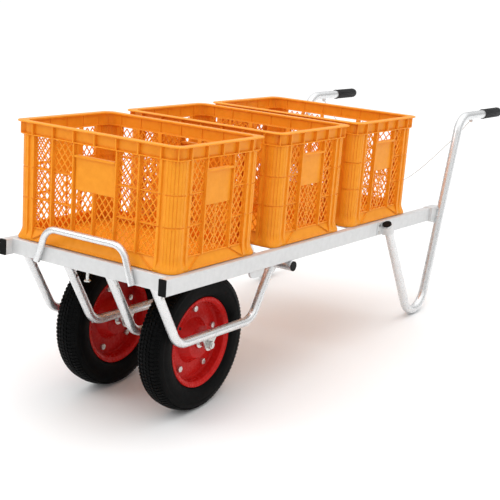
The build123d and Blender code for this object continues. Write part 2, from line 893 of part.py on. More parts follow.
def make_crate():
    half_x = crate_length / 2 - rim_overhang
    half_y = crate_width / 2 - rim_overhang
    band_bottom = crate_height - rim_band
    field = band_bottom - lattice_rail - skirt_height - lattice_rail
    row = (field - 2 * lattice_rail) / 3
    row_centres = [skirt_height + lattice_rail + row / 2 + k * (row + lattice_rail) for k in range(3)]
    panel_bottom = row_centres[0] + row / 2 + lattice_rail
    long_width = long_rib_pitch - rib_thickness - lattice_rail
    diamond_z = row / 4 - lattice_bar * 0.7
    long_ribs = [k * long_rib_pitch for k in (-3, -2, -1, 1, 2, 3)]
    long_webs = long_ribs + [0]
    short_ribs = [side * (short_panel_half + step) for side in (-1, 1) for step in (0, short_rib_gap)]
    short_webs = [k * short_web_pitch for k in (-2, -1, 0, 1, 2)]
    short_column = short_panel_half + short_rib_gap + short_lattice_width / 2
    ground = Plane(
        origin=bed_point(0, crate_setbacks[0] + crate_width / 2, rest_gap), x_dir=(1, 0, 0), z_dir=bed.z_dir
    )
    long_view = Plane(origin=ground.origin, x_dir=(1, 0, 0), z_dir=-bed.y_dir)
    short_view = Plane(origin=ground.origin, x_dir=bed.y_dir, z_dir=(1, 0, 0))
    foot_size = (crate_length - 2 * foot_shy, crate_width - 2 * foot_shy)
    web_size = (crate_length - 2 * (lower_lip_shy + 1), crate_width - 2 * (lower_lip_shy + 1))
    with BuildPart() as crate:
        # Walls
        with BuildSketch(ground):
            RectangleRounded(2 * half_x, 2 * half_y, crate_corner)
        extrude(amount=crate_height)
        # Flared foot
        with BuildSketch(ground):
            RectangleRounded(*foot_size, rim_corner)
        extrude(amount=foot_height)
        with BuildSketch(ground.offset(foot_height)):
            RectangleRounded(*foot_size, rim_corner)
        with BuildSketch(ground.offset(skirt_height)):
            RectangleRounded(2 * half_x, 2 * half_y, crate_corner)
        loft()
        # Rim lips
        with BuildSketch(ground.offset(crate_height - rim_lip)):
            RectangleRounded(crate_length, crate_width, rim_corner)
        extrude(amount=rim_lip)
        with BuildSketch(ground.offset(band_bottom)):
            RectangleRounded(
                crate_length - 2 * lower_lip_shy, crate_width - 2 * lower_lip_shy, rim_corner - lower_lip_shy
            )
        extrude(amount=lower_lip)
        # Ribs on the walls, full height and under the plain panels, and webs between the rim lips
        with BuildSketch(ground.offset(foot_height)):
            for x in long_ribs:
                with Locations((x, 0)):
                    Rectangle(rib_thickness, 2 * (half_y + rib_depth))
            for y in short_ribs:
                with Locations((0, y)):
                    Rectangle(2 * (half_x + rib_depth), rib_thickness)
        extrude(amount=band_bottom - foot_height)
        with BuildSketch(ground.offset(foot_height)):
            Rectangle(rib_thickness, 2 * (half_y + rib_depth))
            Rectangle(2 * (half_x + rib_depth), rib_thickness)
        extrude(amount=panel_bottom - foot_height)
        with BuildSketch(ground.offset(band_bottom)):
            for x in long_webs:
                with Locations((x, 0)):
                    Rectangle(rib_thickness, web_size[1])
            for y in short_webs:
                with Locations((0, y)):
                    Rectangle(web_size[0], rib_thickness)
        extrude(amount=rim_band - rim_lip)
        # Inside
        with BuildSketch(ground.offset(crate_floor)):
            RectangleRounded(2 * (half_x - crate_wall), 2 * (half_y - crate_wall), crate_corner - crate_wall)
        extrude(amount=crate_height, mode=Mode.SUBTRACT)
        # Lattice through the long walls, with a hand-hold over the plain panel in the two middle columns
        long_windows = [
            ((k + 0.5) * long_rib_pitch, z)
            for k in range(-3, 3)
            for z in row_centres
            if k not in (-1, 0) or z == row_centres[0]
        ]
        diamond_x = long_width / 2 - lattice_bar * 0.7
        with BuildSketch(long_view):
            with Locations(*window_diamonds(long_windows, row)):
                Polygon((diamond_x, 0), (0, diamond_z), (-diamond_x, 0), (0, -diamond_z), align=None)
            with Locations((0, hand_hold_top - long_hand_hold[1] / 2)):
                RectangleRounded(*long_hand_hold, hand_hold_corner)
        extrude(amount=crate_width, both=True, mode=Mode.SUBTRACT)
        # Lattice through the short walls, with a hand-hold over the plain panel in the middle
        short_windows = [(side * short_column, z) for side in (-1, 1) for z in row_centres]
        short_windows += [(side * short_panel_half / 2, row_centres[0]) for side in (-1, 1)]
        diamond_x = short_lattice_width / 2 - lattice_bar * 0.7
        with BuildSketch(short_view):
            with Locations(*window_diamonds(short_windows, row)):
                Polygon((diamond_x, 0), (0, diamond_z), (-diamond_x, 0), (0, -diamond_z), align=None)
            with Locations((0, hand_hold_top - short_hand_hold[1] / 2)):
                RectangleRounded(*short_hand_hold, hand_hold_corner)
        extrude(amount=crate_length, both=True, mode=Mode.SUBTRACT)
    return crate.part


def make_crates():
    names = ("front_crate", "middle_crate", "rear_crate")
    first = make_crate()
    for name, setback in zip(names, crate_setbacks):
        with BuildPart() as crate:
            add(first.moved(Location(bed.y_dir * (setback - crate_setbacks[0]))))
        save(crate.part, name)


# Build every piece
for side_name, side in sides.items():
    make_rail(f"{side_name}_rail", side)
    make_rail_tab(f"{side_name}_rail_tab", side)
    make_axle_bracket(f"{side_name}_outer_axle_bracket", bracket_faces(side)[0], side)
    make_axle_bracket(f"{side_name}_inner_axle_bracket", bracket_faces(side)[1], -side)
    make_axle(f"{side_name}_axle", side)
    make_strut(f"{side_name}_outer_strut", side * (wheel_half_track + strut_offset))
    make_strut(f"{side_name}_inner_strut", side * (wheel_half_track - strut_offset))
    make_tyre(f"{side_name}_tyre", side)
    make_inner_tube(f"{side_name}_inner_tube", side)
    make_rim_half(f"{side_name}_outer_rim", side, 1, True)
    make_rim_half(f"{side_name}_inner_rim", side, -1, False)
    make_hub(f"{side_name}_hub", side)
    make_bearings(f"{side_name}_bearings", side)
    make_rim_bolts(f"{side_name}_rim_bolts", side)
    make_valve(f"{side_name}_valve_stem", side)
    make_handle(f"{side_name}_handle", side)
    make_grip(f"{side_name}_grip", side)
    make_leg_saddle(f"{side_name}_leg_saddle", side)
    make_rail_fitting(f"{side_name}_rail_fitting", side)
make_rail_caps()
make_crossbar("front_crossbar", front_bar_setback + front_bar_width / 2, front_bar_width, front_bar_height)
bed_bars = [crate_setbacks[0] + crate_width - bed_bar_inset]
for crate_setback in crate_setbacks[1:]:
    bed_bars.append(crate_setback + bed_bar_inset)
    bed_bars.append(crate_setback + crate_width - bed_bar_inset)
for number, bar_setback in enumerate(bed_bars, start=1):
    make_crossbar(f"bed_crossbar_{number}", bar_setback, bed_bar_width, bed_bar_height)
make_cross_tube()
make_strut_rivets()
make_axle_nuts()
make_axle_spacers()
make_hoop()
make_tie_pin()
make_leg_plugs()
make_saddle_screws()
make_handle_bolts()
make_cord_lugs()
make_tie_cord()
make_crates()
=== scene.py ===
import bpy
import bmesh
import math
from mathutils import Matrix, Vector


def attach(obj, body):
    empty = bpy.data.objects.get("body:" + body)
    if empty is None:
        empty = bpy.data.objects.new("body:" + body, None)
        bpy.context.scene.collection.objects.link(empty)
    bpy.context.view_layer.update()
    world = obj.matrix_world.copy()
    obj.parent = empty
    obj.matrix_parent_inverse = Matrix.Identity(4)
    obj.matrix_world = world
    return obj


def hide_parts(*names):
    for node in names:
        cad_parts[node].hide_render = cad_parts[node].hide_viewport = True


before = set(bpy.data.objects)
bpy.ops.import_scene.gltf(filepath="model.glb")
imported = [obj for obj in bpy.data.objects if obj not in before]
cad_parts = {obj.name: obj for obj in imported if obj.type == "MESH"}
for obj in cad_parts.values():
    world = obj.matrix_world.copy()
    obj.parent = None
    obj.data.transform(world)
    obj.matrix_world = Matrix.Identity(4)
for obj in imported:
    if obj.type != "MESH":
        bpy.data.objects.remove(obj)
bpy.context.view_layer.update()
print("frame loaded with", len(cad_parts), "nodes")

# the bed leans nose up, so the crates and grips are made level and then laid on it
bed = {"frontY": -0.922527, "frontZ": 0.46439, "tilt": 5.5}
bedLean = Matrix.Rotation(-math.radians(bed["tilt"]), 4, "X")
bedMatrix = Matrix.Translation((0, bed["frontY"], bed["frontZ"])) @ bedLean


# camera, light and floor
view = {
    "eye": (1.9779, -3.0266, 1.4103),
    "target": (-0.02342, -0.14114, 0.28114),
    "roll": 0.79,
    "lens": 86.66,
    "sensor": 36.0,
}


def placeCamera(v):
    eye = Vector(v["eye"])
    ahead = (Vector(v["target"]) - eye).normalized()
    right = ahead.cross(Vector((0, 0, 1))).normalized()
    up = right.cross(ahead)
    roll = math.radians(v["roll"])
    side = right * math.cos(roll) + up * math.sin(roll)
    top = up * math.cos(roll) - right * math.sin(roll)
    data = bpy.data.cameras.new("photoCamera")
    data.lens = v["lens"]
    data.sensor_width = v["sensor"]
    data.clip_end = 100
    camera = bpy.data.objects.new("photoCamera", data)
    rows = [[side[i], top[i], -ahead[i], eye[i]] for i in range(3)]
    camera.matrix_world = Matrix(rows + [[0, 0, 0, 1]])
    bpy.context.scene.collection.objects.link(camera)
    bpy.context.scene.camera = camera


studio = {
    "floorSize": 60.0,
    "floorColour": (0.90, 0.90, 0.90, 1),
    "floorRoughness": 0.9,
    "floorSpecular": 0.1,
    "horizon": 0.32,
    "zenith": 1.60,
    "panels": {  # place, target, size and watts
        "keyPanel": ((-2.4, -3.4, 3.4), (0, -0.2, 0.3), 2.2, 36),
        "topPanel": ((0.4, 0.2, 4.2), (0, 0, 0.3), 3.0, 40),
        "sidePanel": ((4.0, -0.6, 2.0), (0, 0, 0.4), 2.0, 6),
    },
}


def lightStudio(s):
    scene = bpy.context.scene
    scene.view_settings.view_transform = "Standard"
    world = bpy.data.worlds.new("studioSky")
    scene.world = world
    world.use_nodes = True
    nodes, links = world.node_tree.nodes, world.node_tree.links
    direction, split = nodes.new("ShaderNodeTexCoord"), nodes.new("ShaderNodeSeparateXYZ")
    rise = nodes.new("ShaderNodeMapRange")  # brighter towards the top of the sky
    rise.inputs["To Min"].default_value = s["horizon"]
    rise.inputs["To Max"].default_value = s["zenith"]
    links.new(direction.outputs["Generated"], split.inputs["Vector"])
    links.new(split.outputs["Z"], rise.inputs["Value"])
    links.new(rise.outputs["Result"], nodes["Background"].inputs["Strength"])
    nodes["Background"].inputs["Color"].default_value = (1, 1, 1, 1)
    for name, (place, target, size, watts) in s["panels"].items():
        data = bpy.data.lights.new(name, "AREA")
        data.size = size
        data.energy = watts
        panel = bpy.data.objects.new(name, data)
        facing = (Vector(place) - Vector(target)).to_track_quat("Z", "Y").to_matrix().to_4x4()
        panel.matrix_world = Matrix.Translation(place) @ facing
        scene.collection.objects.link(panel)
    half = s["floorSize"] / 2
    mesh = bpy.data.meshes.new("paleFloor")
    corners = [(-half, -half, 0), (half, -half, 0), (half, half, 0), (-half, half, 0)]
    mesh.from_pydata(corners, [], [(0, 1, 2, 3)])
    floor = bpy.data.objects.new("paleFloor", mesh)
    scene.collection.objects.link(floor)
    paint = bpy.data.materials.new("paleFloor")
    paint.use_nodes = True
    shader = paint.node_tree.nodes["Principled BSDF"]
    shader.inputs["Base Color"].default_value = s["floorColour"]
    shader.inputs["Roughness"].default_value = s["floorRoughness"]
    shader.inputs["Specular IOR Level"].default_value = s["floorSpecular"]
    mesh.materials.append(paint)


placeCamera(view)
lightStudio(studio)
print("camera, lights and floor placed")


# finishes
grainLook = {"detail": 5, "roughness": 0.6, "from": 0.3, "to": 0.7}
scuffLook = {"detail": 3, "from": 0.55, "to": 0.75}


def makeGrain(look):
    # mottled value between two limits, for colour and roughness that are never quite even
    group = bpy.data.node_groups.new("fineGrain", "ShaderNodeTree")
    for label, start in (("Scale", 120.0), ("Low", 0.0), ("High", 1.0)):
        socket = group.interface.new_socket(label, in_out="INPUT", socket_type="NodeSocketFloat")
        socket.default_value = start
    group.interface.new_socket("Value", in_out="OUTPUT", socket_type="NodeSocketFloat")
    nodes, links = group.nodes, group.links
    entry, leave = nodes.new("NodeGroupInput"), nodes.new("NodeGroupOutput")
    place, noise = nodes.new("ShaderNodeTexCoord"), nodes.new("ShaderNodeTexNoise")
    spread = nodes.new("ShaderNodeMapRange")
    noise.inputs["Detail"].default_value = look["detail"]
    noise.inputs["Roughness"].default_value = look["roughness"]
    spread.inputs["From Min"].default_value = look["from"]
    spread.inputs["From Max"].default_value = look["to"]
    links.new(place.outputs["Object"], noise.inputs["Vector"])
    links.new(entry.outputs["Scale"], noise.inputs["Scale"])
    links.new(noise.outputs["Fac"], spread.inputs["Value"])
    links.new(entry.outputs["Low"], spread.inputs["To Min"])
    links.new(entry.outputs["High"], spread.inputs["To Max"])
    links.new(spread.outputs["Result"], leave.inputs["Value"])
    return group


def makeScuffs(look):
    # thin drawn-out scratches, stretched along one direction
    group = bpy.data.node_groups.new("drawnScuffs", "ShaderNodeTree")
    group.interface.new_socket("Stretch", in_out="INPUT", socket_type="NodeSocketVector")
    group.interface.new_socket("Amount", in_out="INPUT", socket_type="NodeSocketFloat")
    group.interface.new_socket("Mask", in_out="OUTPUT", socket_type="NodeSocketFloat")
    nodes, links = group.nodes, group.links
    entry, leave = nodes.new("NodeGroupInput"), nodes.new("NodeGroupOutput")
    place, pull = nodes.new("ShaderNodeTexCoord"), nodes.new("ShaderNodeVectorMath")
    noise, cut = nodes.new("ShaderNodeTexNoise"), nodes.new("ShaderNodeMapRange")
    pull.operation = "MULTIPLY"
    noise.inputs["Scale"].default_value = 1
    noise.inputs["Detail"].default_value = look["detail"]
    cut.inputs["From Min"].default_value = look["from"]
    cut.inputs["From Max"].default_value = look["to"]
    links.new(place.outputs["Object"], pull.inputs[0])
    links.new(entry.outputs["Stretch"], pull.inputs[1])
    links.new(pull.outputs["Vector"], noise.inputs["Vector"])
    links.new(noise.outputs["Fac"], cut.inputs["Value"])
    links.new(entry.outputs["Amount"], cut.inputs["To Max"])
    links.new(cut.outputs["Result"], leave.inputs["Mask"])
    return group


grain, scuffs = makeGrain(grainLook), makeScuffs(scuffLook)

# each finish: two colours that the grain runs between, gloss limits, shine, grain size and bump
finishes = {
    "aluminium": {
        "dark": (0.63, 0.635, 0.635), "light": (0.69, 0.695, 0.695), "metallic": 0.28, "specular": 0.4,
        "gloss": (0.40, 0.46), "grain": 60, "stretch": (260, 18, 260), "scuff": 0.12,
        "bump": 0.01, "bumpGrain": 900, "coat": 0.0,
    },
    "bright_aluminium": {
        "dark": (0.70, 0.71, 0.715), "light": (0.77, 0.78, 0.785), "metallic": 0.74, "specular": 0.5,
        "gloss": (0.26, 0.30), "grain": 60, "stretch": (260, 18, 260), "scuff": 0.04,
        "bump": 0.001, "bumpGrain": 900, "coat": 0.0,
    },
    "zinc_steel": {
        "dark": (0.50, 0.50, 0.48), "light": (0.76, 0.76, 0.74), "metallic": 0.95, "specular": 0.5,
        "gloss": (0.20, 0.36), "grain": 160, "stretch": (300, 300, 60), "scuff": 0.3,
        "bump": 0.03, "bumpGrain": 700, "coat": 0.0,
    },
    "black_plastic": {
        "dark": (0.003, 0.003, 0.003), "light": (0.006, 0.006, 0.006), "metallic": 0.0, "specular": 0.08,
        "gloss": (0.36, 0.50), "grain": 140, "stretch": (150, 150, 150), "scuff": 0.15,
        "bump": 0.06, "bumpGrain": 1400, "coat": 0.0,
    },
    "black_rubber": {
        "dark": (0.008, 0.008, 0.0085), "light": (0.018, 0.018, 0.019), "metallic": 0.0, "specular": 0.25,
        "gloss": (0.45, 0.60), "grain": 120, "stretch": (120, 120, 120), "scuff": 0.2,
        "bump": 0.08, "bumpGrain": 1600, "coat": 0.0,
    },
    "tyre": {
        "dark": (0.0014, 0.0016, 0.0016), "light": (0.0040, 0.0042, 0.0043),
        "metallic": 0.0, "specular": 0.05,
        "gloss": (0.42, 0.60), "grain": 70, "stretch": (90, 40, 40), "scuff": 0.25,
        "bump": 0.1, "bumpGrain": 1100, "coat": 0.0,
    },
    "red_steel": {
        "dark": (0.47, 0.010, 0.009), "light": (0.55, 0.014, 0.011), "metallic": 0.0, "specular": 0.10,
        "gloss": (0.24, 0.30), "grain": 60, "stretch": (60, 60, 60), "scuff": 0.06,
        "bump": 0.006, "bumpGrain": 500, "coat": 0.05,
    },
    "orange_plastic": {
        "dark": (0.82, 0.282, 0.013), "light": (0.89, 0.328, 0.021), "metallic": 0.0, "specular": 0.17,
        "gloss": (0.30, 0.42), "grain": 45, "stretch": (70, 70, 24), "scuff": 0.10,
        "bump": 0.03, "bumpGrain": 900, "coat": 0.0,
    },
    "white_cord": {
        "dark": (0.52, 0.52, 0.50), "light": (0.80, 0.80, 0.78), "metallic": 0.0, "specular": 0.3,
        "gloss": (0.7, 0.85), "grain": 700, "stretch": (900, 900, 900), "scuff": 0.4,
        "bump": 0.3, "bumpGrain": 1500, "coat": 0.0,
    },
}
allFinishes = {"coatRoughness": 0.12, "glossGrain": 2.3, "bumpHeight": 0.0006}  # shared by all of them


def makeFinish(name, f, shared):
    material = bpy.data.materials.new(name)
    material.use_nodes = True
    nodes, links = material.node_tree.nodes, material.node_tree.links
    shader = nodes["Principled BSDF"]
    shader.inputs["Metallic"].default_value = f["metallic"]
    shader.inputs["Specular IOR Level"].default_value = f["specular"]
    shader.inputs["Coat Weight"].default_value = f["coat"]
    shader.inputs["Coat Roughness"].default_value = shared["coatRoughness"]
    tone, worn, gloss, fine = (nodes.new("ShaderNodeGroup") for _ in range(4))
    tone.node_tree = gloss.node_tree = fine.node_tree = grain
    worn.node_tree = scuffs
    tone.inputs["Scale"].default_value = f["grain"]
    gloss.inputs["Scale"].default_value = f["grain"] * shared["glossGrain"]
    gloss.inputs["Low"].default_value, gloss.inputs["High"].default_value = f["gloss"]
    fine.inputs["Scale"].default_value = f["bumpGrain"]
    worn.inputs["Stretch"].default_value = f["stretch"]
    worn.inputs["Amount"].default_value = f["scuff"]
    blend, fade = nodes.new("ShaderNodeMix"), nodes.new("ShaderNodeMath")
    blend.data_type = "RGBA"
    blend.inputs["A"].default_value = (*f["dark"], 1)
    blend.inputs["B"].default_value = (*f["light"], 1)
    fade.operation = "SUBTRACT"
    fade.use_clamp = True
    bump = nodes.new("ShaderNodeBump")
    bump.inputs["Strength"].default_value = f["bump"]
    bump.inputs["Distance"].default_value = shared["bumpHeight"]
    links.new(tone.outputs["Value"], fade.inputs[0])
    links.new(worn.outputs["Mask"], fade.inputs[1])
    share = next(s for s in blend.inputs if s.name == "Factor" and s.type == "VALUE")
    mixed = next(s for s in blend.outputs if s.type == "RGBA")
    links.new(fade.outputs["Value"], share)
    links.new(mixed, shader.inputs["Base Color"])
    links.new(gloss.outputs["Value"], shader.inputs["Roughness"])
    links.new(fine.outputs["Value"], bump.inputs["Height"])
    links.new(bump.outputs["Normal"], shader.inputs["Normal"])
    return material


materials = {name: makeFinish(name, f, allFinishes) for name, f in finishes.items()}
print("finishes made:", ", ".join(materials))

# the CAD nodes that keep their shape take a finish by the words in their names
nodeFinishes = [
    ("zinc_steel", ("bracket", "axle", "bolts", "screws", "rivets", "tie_pin", "bearings")),
    ("black_plastic", ("caps", "plugs")),
    ("black_rubber", ("grip", "inner_tube", "valve")),
    ("tyre", ("tyre",)),
    ("red_steel", ("rim", "hub")),
    ("orange_plastic", ("crate",)),
    ("white_cord", ("tie_cord",)),
    ("bright_aluminium", ("strut", "handle", "hoop", "cross_tube")),
]
for name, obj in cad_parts.items():
    finish = next((f for f, words in nodeFinishes if any(w in name for w in words)), "aluminium")
    obj.data.materials.clear()
    obj.data.materials.append(materials[finish])


# making meshes
def openTree(name, inputs):
    # an empty geometry tree with named inputs, and its two ends
    tree = bpy.data.node_groups.new(name, "GeometryNodeTree")
    tree.interface.new_socket("Geometry", in_out="INPUT", socket_type="NodeSocketGeometry")
    for label, kind in inputs:
        tree.interface.new_socket(label, in_out="INPUT", socket_type="NodeSocket" + kind)
    tree.interface.new_socket("Geometry", in_out="OUTPUT", socket_type="NodeSocketGeometry")
    return tree, tree.nodes.new("NodeGroupInput"), tree.nodes.new("NodeGroupOutput")


def addMath(tree, operation, *values):
    # a maths node fed by links or plain numbers
    node = tree.nodes.new("ShaderNodeMath")
    node.operation = operation
    for i, value in enumerate(values):
        if isinstance(value, (int, float)):
            node.inputs[i].default_value = value
        else:
            tree.links.new(value, node.inputs[i])
    return node.outputs[0]


def addVector(tree, *values):
    node = tree.nodes.new("ShaderNodeCombineXYZ")
    for i, value in enumerate(values):
        if isinstance(value, (int, float)):
            node.inputs[i].default_value = value
        else:
            tree.links.new(value, node.inputs[i])
    return node.outputs[0]


def closeTree(tree, instances, entry, leave):
    real = tree.nodes.new("GeometryNodeRealizeInstances")
    paint = tree.nodes.new("GeometryNodeSetMaterial")
    tree.links.new(instances, real.inputs["Geometry"])
    tree.links.new(real.outputs["Geometry"], paint.inputs["Geometry"])
    tree.links.new(entry.outputs["Material"], paint.inputs["Material"])
    tree.links.new(paint.outputs["Geometry"], leave.inputs["Geometry"])


def growMesh(tree, values, base=None):
    # runs a tree on a mesh and hands back the plain result
    holder = bpy.data.objects.new("growing", base or bpy.data.meshes.new("seed"))
    bpy.context.scene.collection.objects.link(holder)
    grower = holder.modifiers.new("grower", "NODES")
    grower.node_group = tree
    for socket in tree.interface.items_tree:
        if socket.in_out == "INPUT" and socket.name in values:
            grower[socket.identifier] = values[socket.name]
    solved = holder.evaluated_get(bpy.context.evaluated_depsgraph_get())
    result = bpy.data.meshes.new_from_object(solved)
    holder.modifiers.remove(grower)
    bpy.data.objects.remove(holder)
    return result


def pointsMesh(points, **attributes):
    # loose points that carry values for a tree to read
    mesh = bpy.data.meshes.new("points")
    mesh.from_pydata([tuple(p) for p in points], [], [])
    for name, values in attributes.items():
        vector = isinstance(values[0], (tuple, list))
        layer = mesh.attributes.new(name, "FLOAT_VECTOR" if vector else "FLOAT", "POINT")
        for item, value in zip(layer.data, values):
            if vector:
                item.vector = value
            else:
                item.value = value
    return mesh


def finishMesh(mesh, modifiers):
    # applies a list of modifiers, each a kind with its settings
    holder = bpy.data.objects.new("finishing", mesh)
    bpy.context.scene.collection.objects.link(holder)
    for kind, values in modifiers:
        modifier = holder.modifiers.new(kind.lower(), kind)
        for key, value in values.items():
            setattr(modifier, key, value)
    solved = holder.evaluated_get(bpy.context.evaluated_depsgraph_get())
    result = bpy.data.meshes.new_from_object(solved)
    bpy.data.objects.remove(holder)
    return result


def joinMeshes(name, meshes, matrix, finish, smooth=35):
    # one object at the origin, with its place in its mesh
    shape = bmesh.new()
    for mesh in meshes:
        shape.from_mesh(mesh)
    for face in shape.faces:
        face.material_index = 0
        face.smooth = True
    mesh = bpy.data.meshes.new(name)
    shape.to_mesh(mesh)
    shape.free()
    mesh.transform(matrix)
    mesh.set_sharp_from_angle(angle=math.radians(smooth))
    mesh.materials.clear()
    mesh.materials.append(materials[finish])
    obj = bpy.data.objects.new(name, mesh)
    bpy.context.scene.collection.objects.link(obj)
    return obj


def dress(obj, body, slot, *nodes):
    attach(obj, body)
    if nodes:
        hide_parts(*nodes)
    print(obj.name, "made with", len(obj.data.polygons), "faces")


# tie cord
cord = {
    "diameter": 0.003,
    "roundSteps": 4,
    "lineSteps": 8,
    "length": 0.7878,
    "lugY": 0.70843,
    "half": [(0.289, 0.58472), (0.2505, 0.53622), (0.2115, 0.49352), (0.1725, 0.45152),
             (0.134, 0.41152), (0.098, 0.37702), (0.064, 0.34902), (0.030, 0.33152)],
}


def makeCord(c):
    points = [(x, c["lugY"], z) for x, z in c["half"]]
    points += [(-x, y, z) for x, y, z in reversed(points)]
    curve = bpy.data.curves.new("tieCord", "CURVE")
    curve.dimensions = "3D"
    curve.bevel_depth = c["diameter"] / 2
    curve.bevel_resolution = c["roundSteps"]
    curve.resolution_u = c["lineSteps"]
    curve.use_fill_caps = True
    line = curve.splines.new("NURBS")
    line.points.add(len(points) - 1)
    for point, place in zip(line.points, points):
        point.co = (*place, 1)
    line.order_u = 3
    line.use_endpoint_u = True
    curve.materials.append(materials["white_cord"])
    obj = bpy.data.objects.new("tieCord", curve)
    bpy.context.scene.collection.objects.link(obj)
    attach(obj, "chassis")
    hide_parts("tie_cord")


makeCord(cord)
print("cord hung")


# crates
crate = {
    "bodies": {"front_crate": 0.032, "middle_crate": 0.468, "rear_crate": 0.882},  # setbacks on the rails
    "width": 0.370,
    "restGap": 0.0003,
    "halfLong": 0.262,
    "halfShort": 0.1735,
    "corner": 0.032,
    "cornerSteps": 10,
    "rimOut": 0.012,
    "lowLipOut": 0.0055,
    "webOut": 0.0070,
    "footOut": 0.008,
    "draft": 0.004,  # how much further in the end walls stand at the floor
    "footBead": (0.0016, 0.0066),  # the recessed base ends and the bead ends
    "beadRound": 0.0012,  # slope on the bead's two edges
    "beadRoot": 0.3,  # share of the way from the wall to the bead's edge
    "baseStep": 0.0002,  # height of the step from the base to the bead
    "baseShare": 0.7,  # share of the way from the wall to the foot's edge
    "flareTop": 0.032,
    "flareLevels": (0.012, 0.017, 0.022, 0.027),  # heights where the curve of the flare is cut
    "flareCurve": 1.6,
    "skirtInset": 0.002,  # how far the panels stay inside the foot's edge
    "rimCorner": 0.027,
    "wall": 0.003,
    "mergeGap": 0.00002,
    "top": 0.309,
    "bandBottom": 0.277,
    "topLip": [  # share of the way from the wall to the lip's edge, further out, height over the top
        (0, -0.0095, -0.001), (0, -0.0095, 0.003), (0, -0.0085, 0.004), (1, -0.0017, 0.004),
        (1, -0.0005, 0.0034), (1, 0, 0.0022), (1, -0.0005, 0.0008), (1, -0.0017, 0), (0, -0.005, -0.0005)],
    "lowLip": [  # the same, over the band's bottom
        (0, -0.008, 0), (1, -0.001, 0), (1, 0, 0.0008), (1, 0, 0.0022), (1, -0.001, 0.003),
        (0, -0.008, 0.003)],
    "floorGap": 0.001,  # from the walls' line
    "floorLevels": (0.0002, 0.004),
    "postPlane": 0.003,
    "bandPlane": -0.002,
    "latticePlane": -0.006,
    "latticeBottom": 0.036,
    "rows": [(0.036, 0.110), (0.116, 0.190), (0.196, 0.276)],
    "grooves": (0.113, 0.193),  # level lines on the corner posts
    "grooveSize": (0.0015, 0.0024),  # half its height, and its depth
    "grooveSlope": 0.0003,
    "postProfile": [  # share of the way from a window to the corner, and how deep the upright grooves are
        (0, 0), (0.16, 0), (0.19, 0.0045), (0.39, 0.0045), (0.42, 0), (0.55, 0), (0.56, 0.0008),
        (0.59, 0.0008), (0.60, 0), (0.72, 0), (0.73, 0.0008), (0.76, 0.0008), (0.77, 0), (0.89, 0),
        (0.90, 0.0014), (0.93, 0.0014), (0.94, 0), (1, 0)],
    "cellWidth": 0.021,
    "cellHeight": 0.08 / 3,
    "barWidth": 0.0027,
    "barDepth": 0.0022,
    "secondBar": 0.92,  # depth of one bar of a cross beside the other, so that no faces coincide
    "cellRows": 9,
    "cellDrop": 0.003,  # the lowest cells start this far under the windows
    "cellSlack": 0.001,  # a window this much too wide takes no further cell
    "ribThickness": 0.0045,
    "ribThicken": 1.0,
    "ribBevel": 0.0005,
    "ribRoot": 0.001,  # ribs start this far behind the lattice
    "ribDrop": 0.002,  # and reach this far under it
    "rimWeb": {"lift": 0.002, "rise": 0.001, "thin": 0.9},  # from the band's bottom, the top and a rib
    "cornerWeb": {"short": 0.008, "thick": 0.003},  # short of the rim's edge
    "ledge": {"below": 0.0016, "above": 0.001, "out": 0.0045},  # under the windows
    "label": {"behind": 0.0025, "out": 0.002, "wider": 0.002},  # the plain panel under the hand-hold
    "holdEdge": {"below": 0.005, "above": 0.001, "behind": 0.003, "wider": 0.001},
    "levelRib": {"half": 0.0012, "out": 0.003, "longer": 0.006},
    "skirtLine": (0.049, 0.031, 0.005, 0.007),  # short of the post and height, at its top and at its foot
    "skirtRidge": {"shift": 0.0022, "sunk": 0.001, "rise": 0.0032, "halfRoot": 0.0011, "halfCrest": 0.0008},
    "long": {
        "post": 0.2075,
        "columns": [(0.0745, 0.1405), (0.1475, 0.2055)],
        "middle": (0.003, 0.0665),  # edges of the window under the label panel
        "panel": (0.158, 0.247),
        "hold": 0.062,
        "ribs": [-0.144, -0.071, 0.0, 0.071, 0.144],
        "webs": [k * 0.0705 for k in range(-3, 4)],
    },
    "short": {
        "post": 0.116,
        "columns": [(0.0600, 0.1145)],
        "middle": (0.0012, 0.0530),
        "panel": (0.157, 0.247),
        "hold": 0.048,
        "ribs": [-0.0565, 0.0565],
        "webs": [k * 0.064 for k in range(-2, 3)],
    },
}


def crateSides(c):
    # each wall: middle, direction along it, outward, half length, kind
    far, near = c["halfLong"], c["halfShort"]
    return [
        (Vector((0, -near, 0)), Vector((1, 0, 0)), Vector((0, -1, 0)), far, "long"),
        (Vector((far, 0, 0)), Vector((0, 1, 0)), Vector((1, 0, 0)), near, "short"),
        (Vector((0, near, 0)), Vector((-1, 0, 0)), Vector((0, 1, 0)), far, "long"),
        (Vector((-far, 0, 0)), Vector((0, -1, 0)), Vector((-1, 0, 0)), near, "short"),
    ]


def crateRing(c, out, corner):
    # a line right round the crate, this far out from the walls: each wall's two ends, then its corner
    ring = []
    for middle, along, away, half, kind in crateSides(c):
        line, run = middle + away * out, half + out - corner
        ring += [(line - along * run, away), (line + along * run, away)]
        heart = line + along * run - away * corner
        for k in range(1, c["cornerSteps"]):
            angle = math.pi / 2 * k / c["cornerSteps"]
            turn = away * math.cos(angle) + along * math.sin(angle)
            ring.append((heart + turn * corner, turn))
    return ring


